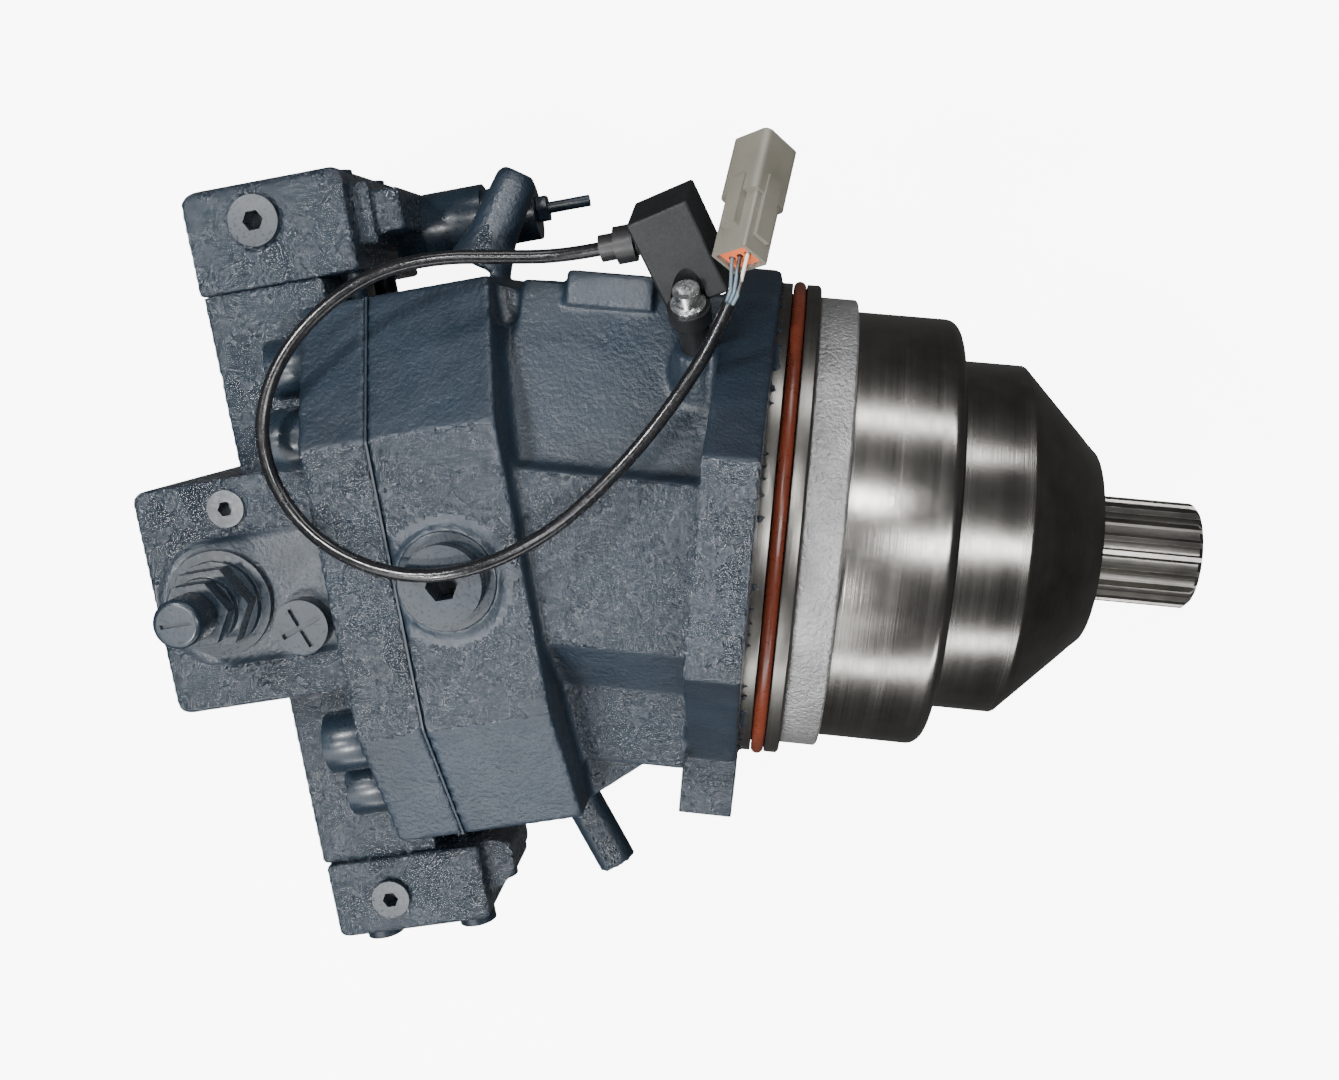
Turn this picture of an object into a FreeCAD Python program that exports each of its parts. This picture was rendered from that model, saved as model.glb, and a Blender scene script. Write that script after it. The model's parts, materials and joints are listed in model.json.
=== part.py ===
import FreeCAD, Part
import math
import os
from FreeCAD import Vector as V

# Bent-axis axial piston unit of the plug-in kind. Millimetres.
# Origin: shaft axis where it crosses the front face of the mounting flange.
# +X points out along the shaft, +Z is up as the unit lies, the bend lies in XY.

# ---- driving sizes: the mounting end ----
FLANGE_T = 20.0
FLANGE_R = 105.0
EAR_TIP = 146.0
EAR_HALF = 38.0
EAR_HOLE_SPACING = 250.0
EAR_HOLE_R = 11.0
LUG_DROP = 126.0
LUG_HALF = 30.0
PILOT_R = 100.0
PILOT_L = 17.0
ORING_X = 8.1
ORING_CORD = 5.3
ORING_GROOVE_D = 4.3
RAW_RING_R = 95.3
RAW_RING_END = 32.5
NOSE_R = 90.5
NOSE_END = 75.5
NOSE_ROUND = 6.0
SNOUT_R = 73.9
SNOUT_END = 104.0
CONE_END = 132.0
FACE_R = 46.0
FACE_X = 138.0

# ---- driving sizes: shaft and rotating group ----
SPLINE_R = 22.3
SPLINE_ROOT_R = 20.2
SPLINE_TEETH = 21
SPLINE_START = 139.0
SHAFT_END = 182.5
SEAL_R = 27.5
REAR_SEAT_R = 45.0
REAR_BEARING_R = NOSE_R - 14.5
REAR_BEARING_X = 14.0
REAR_BEARING_W = 36.0
FRONT_SEAT_R = 32.5
FRONT_BEARING_R = SNOUT_R - 13.9
FRONT_BEARING_X = 72.0
FRONT_BEARING_W = 30.0
CONE_ANGLE = 13.0
SWIVEL_X = -22.0
PISTON_COUNT = 7
PITCH_R = 44.0
BALL_R = 12.5
PISTON_R = 14.0
PISTON_L = 50.0
DRIVE_FLANGE_R = PITCH_R + BALL_R + 4.5
BARREL_WALL = 8.0
BARREL_R = PITCH_R + PISTON_R + BARREL_WALL
BARREL_NEAR = 24.0
BARREL_FAR = 92.0
CENTRE_PIN_R = 9.0
RUN_FIT = 0.04
SEAT_FIT = 0.02

# ---- driving sizes: tilted rear end (its own axes: u forward, v across, z up) ----
TILT = 14.5
SHELL_FRONT = -64.0
SEAM = -113.0
GASKET_T = 0.8
PLATE_BACK = -140.0
SHELL_TOP = BARREL_R + 46
SHELL_BOTTOM = -BARREL_R - 38
SHELL_HALF = 100.0
BEVEL_TOP = 58.0
BEVEL_BOTTOM = -53.0
TOP_EDGE_Z = 62.0
BOTTOM_EDGE_Z = 74.0
CAVITY_HALF = BARREL_R + 7
SLIDE_R = 119.0
TRACK_HALF = 42.0
LENS_HALF = 34.0
BAR_BACK = -184.0
BAR_HALF = 47.0
BAR_TOP = 124.0
BAR_BOTTOM = -118.0
CAP_TOP = 166.0
CAP_BOTTOM = -151.0
CAP_FRONT = -118.0
CAP_PLUG_R = 9.0
LOWER_PLUG_R = 7.0
CAP_SCREW_R = 5.0
CAP_SCREW_HEAD_R = 8.0
STROKE_U = -161.0
STROKE_R = 17.0
PIN_V = 30.0
STOP_R = 12.5
STOP_V = 140.0
STOP_Z = -10.0
STOP_SCREW_R = 2.5
PORT_U = -148.0
PORT_R = 16.0
PORT_SCREW_R = 6.0
PORT_SCREW_DEPTH = 24.0
PORT_GAP = 92.0
PORT_FACE = -146.0
PORT_DEPTH = 52.0

# ---- driving sizes: control block and its valve ----
BLOCK_BACK = -222.0
BLOCK_TOP = 52.0
BLOCK_BOTTOM = -40.0
BLOCK_FACE = 68.0
BLOCK_UNDER = -62.0
VALVE_U = -195.0
VALVE_V = 3.0
SPOOL_R = 7.0
VALVE_BORE_R = 11.0
RECESS_HALF = 25.5
CROSS_PLUG_R = 11.0
SMALL_PLUG_R = 5.0
SCREW_TOP = 111.0
SCREW_KNOB_R = 9.4

# ---- driving sizes: small pieces ----
M16_HEAD_R = 12.0
M16_HEAD_L = 16.0
M16_R = 8.0
DRAIN_PLUG_R = 15.0
SENSOR_SCREW_R = 3.0
SPACER_R = 5.5
SPACER_L = 21.0
PROBE_R = 4.5
PROBE_REACH = 118.0
PROBE_L = PROBE_REACH - BARREL_R
PROBE_DROP = 15.5
DRAIN_U = -93.0
DRAIN_V = 2.0
CABLE_R = 2.6
CONNECTOR_L = 48.0
SENSOR_HALVES = (18.5, 12.0, 12.5)
PLUG_HALVES = (7.8, 6.6)
PLUG_WALL = 1.3
SOCKET_HALVES = (8.6, 8.8)
WIRE_GAP = 3.6

S = V(SWIVEL_X, 0, 0)


def write(name, shape):
    """Store one sub-part as its own file."""
    if shape.Volume <= 0 or not shape.isValid():
        print("check shape", name, shape.Volume, shape.isValid())
    shape.exportStep("parts/" + name + ".step")


def box(x0, x1, y0, y1, z0, z1):
    return Part.makeBox(x1 - x0, y1 - y0, z1 - z0, V(x0, y0, z0))


def rod(radius, start, end):
    """A cylinder between two points."""
    way = V(*end) - V(*start)
    return Part.makeCylinder(radius, way.Length, V(*start), way)


def cone(r_start, r_end, start, end):
    way = V(*end) - V(*start)
    return Part.makeCone(r_start, r_end, way.Length, V(*start), way)


def ball(radius, x, y, z):
    return Part.makeSphere(radius, V(x, y, z), V(1, 0, 0))


def joined(shapes):
    whole = shapes[0]
    for shape in shapes[1:]:
        whole = whole.fuse(shape)
    return whole.removeSplitter()


def tilted(shape):
    """From the rear end's own axes to the unit's axes."""
    moved = shape.copy()
    moved.rotate(V(0, 0, 0), V(0, 0, 1), TILT)
    moved.translate(S)
    return moved


def prism(points, way):
    """A straight prism on a flat outline of 3-D points."""
    face = Part.Face(Part.makePolygon([V(*p) for p in points] + [V(*points[0])]))
    return face.extrude(V(*way))


def turned(profile):
    """A solid of revolution about the shaft axis from (x, r) points."""
    points = [V(x, r, 0) for x, r in profile]
    face = Part.Face(Part.makePolygon(points + [points[0]]))
    return face.revolve(V(0, 0, 0), V(1, 0, 0), 360)


def hexagon(across_flats, start, end):
    """A hexagonal bar between two points."""
    way = V(*end) - V(*start)
    corner = across_flats / math.sqrt(3)
    ring = [V(corner * math.cos(k * math.pi / 3), corner * math.sin(k * math.pi / 3), 0) for k in range(7)]
    bar = Part.Face(Part.makePolygon(ring)).extrude(V(0, 0, way.Length))
    bar.Placement = FreeCAD.Placement(V(*start), FreeCAD.Rotation(V(0, 0, 1), way))
    return bar


def socket_screw(head_r, head_l, stem_r, stem_l, seat, out):
    """Cap screw with a hex socket: seat is under the head, out is the way the head points."""
    way = V(*out).normalize()
    foot = V(*seat)
    tip = foot - way * stem_l
    crown = foot + way * head_l
    screw = rod(head_r, foot, crown).fuse(rod(stem_r, tip, foot))
    socket = hexagon(head_r * 1.05, crown - way * head_l * 0.55, crown + way)
    return screw.cut(socket).removeSplitter()


def socket_plug(head_r, head_l, stem_r, stem_l, seat, out):
    """Flat plug with a deep hex socket."""
    way = V(*out).normalize()
    foot = V(*seat)
    crown = foot + way * head_l
    body = rod(head_r, foot, crown).fuse(rod(stem_r, foot - way * stem_l, foot))
    socket = hexagon(head_r * 0.72, crown - way * (head_l + stem_l * 0.5), crown + way)
    return body.cut(socket).removeSplitter()


def face_plug(bore_r, brim, head_l, stem_l, seat):
    """Socket plug on an upper face of the tilted rear end."""
    return tilted(socket_plug(bore_r + brim, head_l, bore_r - SEAT_FIT, stem_l, seat, (0, 0, 1)))


def around(count, radius, phase=0.0):
    """Evenly spaced (y, z) places on a circle about the shaft axis."""
    step = 2 * math.pi / count
    return [(radius * math.cos(phase + k * step), radius * math.sin(phase + k * step)) for k in range(count)]


# ---- places that several pieces share ----
EAR_HOLES = [EAR_HOLE_SPACING / 2, -EAR_HOLE_SPACING / 2]
PLATE_SCREWS = [(v, side * z) for v, z in ((90, 60), (63, 78), (-57, 82), (-80, 66)) for side in (1, -1)]
TOP_CAP_SCREWS = [(-172, 24), (-172, -24), (-128, 24), (-128, -24)]
BOTTOM_CAP_SCREWS = [(-170, 26), (-128, 26), (-170, -26), (-128, -26)]
BLOCK_SCREWS = [(42, 30), (42, -30), (-30, 30), (-30, -30)]
PORT_CENTRES = [PORT_GAP / 2, -PORT_GAP / 2]
PORT_SCREWS = [(du, dv) for du in (-15.9, 15.9) for dv in (-33.35, 33.35)]
CAP_PLUG = (-156, 150)
LOWER_PLUG = (-156, -135)
SMALL_PLUG = (-184, 40)
CROSS_PLUG = (-162, -11)
# the sensor's screw and probe stand side by side and point through the neck wall at the shaft axis
SENSOR_SEAT = V(-31.9, 87, 93)
SENSOR_OUT = V(-0.14, 0.69, 0.71).normalize()
PROBE_FOOT = SENSOR_SEAT - V(0, 0, PROBE_DROP)
# the sensor's own axes: LONG runs up the moulding, WIDE crosses it, DEEP goes away from above
DEEP = V(0, math.sin(math.radians(23)), -math.cos(math.radians(23)))
UPWARD = V(0, math.cos(math.radians(23)), math.sin(math.radians(23)))
LONG = UPWARD * math.cos(math.radians(28)) - V(1, 0, 0) * math.sin(math.radians(28))
WIDE = V(1, 0, 0) * math.cos(math.radians(28)) + UPWARD * math.sin(math.radians(28))
SENSOR_AT = V(-36.9, 107.8, 85.5)
PLUG_WAY = V(0.105, 0.86, -0.5).normalize()
PLUG_ACROSS = PLUG_WAY.cross(V(0, 0, 1)).normalize()
# the connector is rolled about its own axis, so that two of its faces show from above
PLUG_SIDE = (PLUG_ACROSS + PLUG_ACROSS.cross(PLUG_WAY)).normalize()
PLUG_TOP = PLUG_SIDE.cross(PLUG_WAY).normalize()
PLUG_FOOT = V(-14.5, 104, 110)
CABLE_ROUTE = [
    (-67, 105, 80), (-82, 101, 79), (-103, 99, 83), (-126, 97, 88), (-148, 90, 92),
    (-168, 74, 95), (-181.5, 54, 98), (-186.5, 32.5, 100), (-182, 14, 102), (-172, 0, 104.5),
    (-158, -10.5, 108), (-139, -17, 112.5), (-119, -18, 115.5), (-101, -13.5, 115.5), (-85, -5.5, 112.5),
    (-69.5, 6, 108), (-54.5, 22.5, 104.5), (-42, 39, 103.5), (-30.5, 57.5, 104), (-21.5, 75, 106.5),
    (-16.5, 89, 110),
]


def rear_outline():
    """Bevelled section of the tilted rear end in its own (v, z) plane."""
    return [
        (BEVEL_TOP, SHELL_HALF), (SHELL_TOP, TOP_EDGE_Z), (SHELL_TOP, -TOP_EDGE_Z), (BEVEL_TOP, -SHELL_HALF),
        (BEVEL_BOTTOM, -SHELL_HALF), (SHELL_BOTTOM, -BOTTOM_EDGE_Z), (SHELL_BOTTOM, BOTTOM_EDGE_Z),
        (BEVEL_BOTTOM, SHELL_HALF),
    ]


def rear_slab(u0, u1):
    """The bevelled section run from u0 to u1, in the rear end's own axes."""
    return prism([(u0, v, z) for v, z in rear_outline()], (u1 - u0, 0, 0))


def flange_plate():
    """Two-eared flange: a disc with straight flanks to the ear tips, and a lug below."""
    reach = math.hypot(EAR_HALF, EAR_TIP)
    lean = math.atan2(EAR_HALF, EAR_TIP) + math.acos(FLANGE_R / reach)
    ty = FLANGE_R * math.sin(lean)
    tz = FLANGE_R * math.cos(lean)
    outline = [
        (-FLANGE_T, EAR_HALF, EAR_TIP), (-FLANGE_T, -EAR_HALF, EAR_TIP), (-FLANGE_T, -ty, tz),
        (-FLANGE_T, -ty, -tz), (-FLANGE_T, -EAR_HALF, -EAR_TIP), (-FLANGE_T, EAR_HALF, -EAR_TIP),
        (-FLANGE_T, ty, -tz), (-FLANGE_T, ty, tz),
    ]
    ears = prism(outline, (FLANGE_T, 0, 0))
    disc = rod(FLANGE_R, (-FLANGE_T, 0, 0), (0, 0, 0))
    lug = box(-FLANGE_T - 2.5, 0, -LUG_DROP, -FLANGE_R + 10, -LUG_HALF, LUG_HALF)
    return joined([disc, ears, lug])


def neck():
    """Cast neck between flange and tilted rear: a raised flat panel over stepped flanks."""
    far = -100.0
    top = BARREL_R + 26
    low = -BARREL_R - 32
    crown = BARREL_R + 25
    half = [(22, crown), (24, crown - 9), (top, crown - 35), (top + 1, 0)]
    other = [(low - 2, 0), (low, crown - 33), (-64, crown - 21), (-43, crown)]
    section = half + [(y, -z) for y, z in reversed(half[:-1])]
    section += [(y, -z) for y, z in reversed(other[1:])] + other
    return prism([(far, y, z) for y, z in section], (-FLANGE_T - far, 0, 0))


def root_fillet():
    """Hollow fillet between the neck's upper flank and the front of the tilted rear end."""
    reach = 15.0
    sections = []
    sides = ((24, SHELL_HALF - 3, BARREL_R + 14), (BARREL_R + 26, TOP_EDGE_Z + 12, BARREL_R - 12))
    for v, z_high, z_low in sides:
        points = [V(SHELL_FRONT - 2, v, z_low - 20), V(SHELL_FRONT - 2, v, z_high)]
        for step in range(5):
            a = math.pi / 2 * step / 4
            drop = (z_high - z_low) * math.sin(a)
            points.append(V(SHELL_FRONT + reach * (1 - math.cos(a)), v, z_high - drop))
        points.append(V(SHELL_FRONT + reach, v, z_low - 20))
        sections.append(Part.makePolygon(points + [points[0]]))
    return tilted(Part.makeLoft(sections, True, True))


def swivel_sweep(radius, near, far):
    """Room that a barrel of this radius needs from straight to fully bent."""
    room = []
    for step in range(5):
        a = math.radians(2 * TILT * step / 4)
        way = V(-math.cos(a), -math.sin(a), 0)
        room.append(Part.makeCylinder(radius, far - near, S + way * near, way))
    return joined(room)


def main_housing():
    nose = turned([
        (0, 0), (0, PILOT_R), (PILOT_L - 1, PILOT_R), (PILOT_L, PILOT_R - 1), (PILOT_L, RAW_RING_R),
        (RAW_RING_END, RAW_RING_R), (RAW_RING_END, NOSE_R), (NOSE_END, NOSE_R), (NOSE_END, SNOUT_R),
        (SNOUT_END, SNOUT_R), (CONE_END, FACE_R), (FACE_X, FACE_R - 6), (FACE_X, 0),
    ])
    circles = [e for e in nose.Edges if abs(e.CenterOfMass.x - NOSE_END) < 0.01]
    rim = [e for e in circles if abs(e.Length - 2 * math.pi * NOSE_R) < 1]
    nose = nose.makeFillet(min(NOSE_ROUND, 0.4 * (NOSE_R - SNOUT_R)), rim)
    shell = tilted(rear_slab(SEAM, SHELL_FRONT))
    chin = tilted(prism([(SHELL_FRONT, SHELL_BOTTOM, -50), (SHELL_FRONT + 40, SHELL_BOTTOM + 18, -50),
                         (SHELL_FRONT + 30, 0, -50), (SHELL_FRONT, 0, -50)], (0, 0, 100)))
    brow = tilted(prism([(SHELL_FRONT, 109, -54), (SHELL_FRONT, 40, -54), (SHELL_FRONT + 28, 40, -54),
                         (SHELL_FRONT + 26, 88, -54), (SHELL_FRONT + 12, 104, -54)], (0, 0, 108)))
    pad = box(-82, -48, 84, 97, 30, 62)
    foot, way = V(-124, 96, 22), V(13, 37, 0).normalize()
    vent = joined([cone(13.5, 9, foot, foot + way * 18), cone(11.2, 8.4, foot, foot + way * 39),
                   rod(6.8, foot + way * 38, foot + way * 41.5)])
    spout = rod(8.5, (-80, -113, 5), (-48.5, -161, 5)).cut(rod(5, (-65, -136, 5), (-47.8, -162, 5)))
    spacer_foot = SENSOR_SEAT - SENSOR_OUT * SPACER_L
    boss = cone(14, SPACER_R + 3, spacer_foot - SENSOR_OUT * 21, spacer_foot)
    blister = tilted(rod(19.9, (DRAIN_U, DRAIN_V, SHELL_HALF - 6), (DRAIN_U, DRAIN_V, SHELL_HALF + 2)))
    castings = [flange_plate(), nose, neck(), shell, chin, brow, root_fillet()]
    body = joined(castings + [pad, vent, spout, boss, blister])

    sweep = swivel_sweep(BARREL_R + 3, -6, SLIDE_R)
    swing = BARREL_R + 3 + BARREL_FAR * math.sin(math.radians(TILT))
    room = tilted(box(SEAM - 1, -20, -swing, swing, -CAVITY_HALF, CAVITY_HALF))
    meet = SWIVEL_X - 25 - (BARREL_R + 3) * math.sin(math.radians(TILT))
    chamber = sweep.common(room).fuse(rod(BARREL_R + 3, (meet, 0, 0), (REAR_BEARING_X - 1, 0, 0)))
    mouth = tilted(box(SEAM - 1, SEAM + 26, -84, 84, -CAVITY_HALF + 4, CAVITY_HALF - 4))
    front_face = FRONT_BEARING_X + FRONT_BEARING_W
    bores = [
        rod(REAR_BEARING_R + SEAT_FIT, (REAR_BEARING_X - 2, 0, 0), (REAR_BEARING_X + REAR_BEARING_W, 0, 0)),
        rod(50, (REAR_BEARING_X, 0, 0), (front_face, 0, 0)),
        rod(FRONT_BEARING_R + SEAT_FIT, (FRONT_BEARING_X, 0, 0), (front_face, 0, 0)),
        rod(42, (front_face - 1, 0, 0), (FACE_X - 20, 0, 0)),
        rod(40 + SEAT_FIT, (FACE_X - 21, 0, 0), (FACE_X - 3, 0, 0)),
        rod(34, (FACE_X - 4, 0, 0), (FACE_X + 1, 0, 0)),
    ]
    body = body.cut(chamber).cut(mouth)
    for bore in bores:
        body = body.cut(bore)
    groove = rod(PILOT_R + 1, (ORING_X - 2.9, 0, 0), (ORING_X + 2.9, 0, 0))
    groove = groove.cut(rod(PILOT_R - ORING_GROOVE_D, (ORING_X - 2.9, 0, 0), (ORING_X + 2.9, 0, 0)))
    body = body.cut(groove)
    for z in EAR_HOLES:
        body = body.cut(rod(EAR_HOLE_R, (-FLANGE_T - 1, 0, z), (1, 0, z)))
        body = body.cut(rod(19, (-FLANGE_T - 60, 0, z), (-FLANGE_T + 1.5, 0, z)))
    for v, z in PLATE_SCREWS:
        body = body.cut(tilted(rod(M16_R, (SEAM - 1, v, z), (SEAM + 30, v, z))))
    drain = rod(DRAIN_PLUG_R + 4.2, (DRAIN_U, DRAIN_V, SHELL_HALF + 1), (DRAIN_U, DRAIN_V, SHELL_HALF + 9))
    body = body.cut(tilted(drain.fuse(rod(11, (DRAIN_U, DRAIN_V, 60), (DRAIN_U, DRAIN_V, SHELL_HALF + 9)))))
    foot = spacer_foot
    body = body.cut(rod(SENSOR_SCREW_R, foot + SENSOR_OUT, foot - SENSOR_OUT * 15))
    body = body.cut(rod(PROBE_R + SEAT_FIT, PROBE_FOOT, PROBE_FOOT - SENSOR_OUT * (PROBE_L + 3)))
    return body.removeSplitter()


def port_plate():
    """Rear casting: bevelled plate, crossing bar for the stroking piston, and the port boss."""
    plate = rear_slab(PLATE_BACK, SEAM - GASKET_T)
    bar = box(BAR_BACK, PLATE_BACK + 6, BAR_BOTTOM, BAR_TOP, -BAR_HALF, BAR_HALF)
    track = box(SEAM - 2, SEAM + 16, -72, 72, -TRACK_HALF, TRACK_HALF)
    feet = box(BAR_BACK + 4, SEAM - GASKET_T, -92, 92, PORT_FACE, -60)
    feet = feet.makeChamfer(8, [e for e in feet.Edges if abs(e.CenterOfMass.z - (PORT_FACE - 60) / 2) < 1])
    shelf = box(BLOCK_BACK + 70, PLATE_BACK + 4, BLOCK_BOTTOM, BLOCK_TOP, BLOCK_UNDER, 60)
    body = joined([plate, bar, track, feet, shelf])
    body = body.cut(Part.makeCylinder(SLIDE_R + RUN_FIT, 2 * TRACK_HALF, V(0, 0, -TRACK_HALF)))
    body = body.cut(rod(STROKE_R + RUN_FIT, (STROKE_U, BAR_BOTTOM - 1, 0), (STROKE_U, BAR_TOP + 1, 0)))
    slot = box(STROKE_U, SEAM + 20, -50, 50, -9, 9)
    body = body.cut(slot)
    for v in PORT_CENTRES:
        body = body.cut(rod(9, (PORT_U, v, PORT_FACE + PORT_DEPTH - 8), (SEAM + 5, v * 0.45, -24)))
        body = body.cut(rod(PORT_R, (PORT_U, v, PORT_FACE - 1), (PORT_U, v, PORT_FACE + PORT_DEPTH)))
        for du, dv in PORT_SCREWS:
            spot = (PORT_U + du, v + dv, PORT_FACE - 1)
            body = body.cut(rod(PORT_SCREW_R, spot, (spot[0], spot[1], PORT_FACE + PORT_SCREW_DEPTH)))
    for v, z in PLATE_SCREWS:
        body = body.cut(rod(M16_R + 0.5, (PLATE_BACK - 1, v, z), (SEAM, v, z)))
        body = body.cut(rod(M16_HEAD_R + 1.5, (PLATE_BACK - M16_HEAD_L - 30, v, z), (PLATE_BACK, v, z)))
    for u, z in TOP_CAP_SCREWS:
        body = body.cut(rod(CAP_SCREW_R, (u, BAR_TOP - 22, z), (u, BAR_TOP + 1, z)))
    for u, z in BOTTOM_CAP_SCREWS:
        body = body.cut(rod(CAP_SCREW_R, (u, BAR_BOTTOM - 1, z), (u, BAR_BOTTOM + 22, z)))
    for v, z in BLOCK_SCREWS:
        body = body.cut(rod(CAP_SCREW_R, (BAR_BACK - 1, v, z), (BAR_BACK + 12, v, z)))
    body = body.cut(control_seat())
    return tilted(body.removeSplitter())


def control_seat():
    """Room behind the bar that the control block fills."""
    return box(BLOCK_BACK - 1, BAR_BACK, BLOCK_BOTTOM - 1, BLOCK_TOP + 1, BLOCK_UNDER - 1, BLOCK_FACE + 20)


def gasket():
    ring = rear_slab(SEAM - GASKET_T, SEAM).cut(box(SEAM - 2, SEAM + 2, -86, 86, -CAVITY_HALF, CAVITY_HALF))
    for v, z in PLATE_SCREWS:
        ring = ring.cut(rod(M16_R + 0.5, (SEAM - 3, v, z), (SEAM + 3, v, z)))
    return tilted(ring)


def plate_screws():
    out = (-1, 0, 0)
    size = (M16_HEAD_R, M16_HEAD_L, M16_R - SEAT_FIT, 52)
    screws = [socket_screw(*size, (PLATE_BACK, v, z), out) for v, z in PLATE_SCREWS]
    return Part.makeCompound([tilted(s) for s in screws])


def upper_cap():
    cap = box(BAR_BACK - 1, CAP_FRONT, BAR_TOP, CAP_TOP, -BAR_HALF - 1, BAR_HALF + 1)
    cap = cap.makeFillet(6, [e for e in cap.Edges if abs(e.CenterOfMass.y - CAP_TOP) < 1])
    step = box(CAP_FRONT - 1, CAP_FRONT + 7, BAR_TOP + 10, CAP_TOP - 7, -38, 38)
    ribbed = box(CAP_FRONT + 6, CAP_FRONT + 18, BAR_TOP + 14, CAP_TOP - 11, -34, 34)
    cap = joined([cap, step, ribbed])
    pips = [rod(2.6, (u, v, BAR_HALF), (u, v, BAR_HALF + 1.9)) for u, v in ((-141, 139), (-121.5, 133))]
    cap = joined([cap] + pips)
    cap = cap.cut(rod(CAP_PLUG_R, (*CAP_PLUG, 30), (*CAP_PLUG, BAR_HALF + 2)))
    cap = cap.cut(rod(CAP_PLUG_R + 3, (*CAP_PLUG, BAR_HALF - 0.2), (*CAP_PLUG, BAR_HALF + 2)))
    for u, z in TOP_CAP_SCREWS:
        cap = cap.cut(rod(CAP_SCREW_R + 0.5, (u, BAR_TOP - 1, z), (u, CAP_TOP + 1, z)))
        cap = cap.cut(rod(CAP_SCREW_HEAD_R + 0.5, (u, CAP_TOP - 8, z), (u, CAP_TOP + 1, z)))
    cap = cap.cut(rod(STOP_R + SEAT_FIT, (CAP_FRONT + 4, STOP_V, STOP_Z), (CAP_FRONT + 19, STOP_V, STOP_Z)))
    return tilted(cap)


def stop_sleeve():
    """Long sleeve on the upper cap, bored for the stroke-limit screw."""
    sleeve = rod(STOP_R, (CAP_FRONT + 4, STOP_V, STOP_Z), (-52, STOP_V, STOP_Z))
    sleeve = sleeve.fuse(rod(15, (CAP_FRONT + 18, STOP_V, STOP_Z), (-74, STOP_V, STOP_Z)))
    bore = rod(STOP_SCREW_R + RUN_FIT, (-90, STOP_V, STOP_Z), (-51, STOP_V, STOP_Z))
    return tilted(sleeve.cut(bore).removeSplitter())


def stop_screw():
    screw = rod(STOP_SCREW_R, (-88, STOP_V, STOP_Z), (-29, STOP_V, STOP_Z))
    return tilted(screw.cut(hexagon(STOP_SCREW_R, (-32, STOP_V, STOP_Z), (-28, STOP_V, STOP_Z))))


def stop_nut():
    nut = hexagon(10.5, (-52, STOP_V, STOP_Z), (-47, STOP_V, STOP_Z))
    return tilted(nut.cut(rod(STOP_SCREW_R + RUN_FIT, (-53, STOP_V, STOP_Z), (-46, STOP_V, STOP_Z))))


def lower_cap():
    cap = box(BAR_BACK + 2, CAP_FRONT + 2, CAP_BOTTOM, BAR_BOTTOM, -BAR_HALF + 2, BAR_HALF + 3)
    cap = cap.makeFillet(4, [e for e in cap.Edges if abs(e.CenterOfMass.y - CAP_BOTTOM) < 1])
    wing = prism([(CAP_FRONT, BAR_BOTTOM + 0.5, 10), (CAP_FRONT, CAP_BOTTOM + 6, 10),
                  (CAP_FRONT + 14, CAP_BOTTOM + 16, 10), (CAP_FRONT + 14, BAR_BOTTOM - 4, 10)], (0, 0, 30))
    cap = joined([cap, wing.cut(box(-200, 0, BAR_BOTTOM, 0, -99, 99))])
    cap = cap.cut(rod(LOWER_PLUG_R, (*LOWER_PLUG, 30), (*LOWER_PLUG, BAR_HALF + 4)))
    for u, z in BOTTOM_CAP_SCREWS:
        cap = cap.cut(rod(CAP_SCREW_R + 0.5, (u, CAP_BOTTOM - 1, z), (u, BAR_BOTTOM + 1, z)))
    return tilted(cap)


def cap_screws():
    head, stem = CAP_SCREW_HEAD_R, CAP_SCREW_R - SEAT_FIT
    grip_top = CAP_TOP - 8 - BAR_TOP + 14
    grip_bottom = BAR_BOTTOM - CAP_BOTTOM + 17
    screws = [socket_screw(head, 8, stem, grip_top, (u, CAP_TOP - 8, z), (0, 1, 0))
              for u, z in TOP_CAP_SCREWS]
    screws += [socket_screw(head, 8, stem, grip_bottom, (u, CAP_BOTTOM, z), (0, -1, 0))
               for u, z in BOTTOM_CAP_SCREWS]
    return Part.makeCompound([tilted(s) for s in screws])


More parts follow.
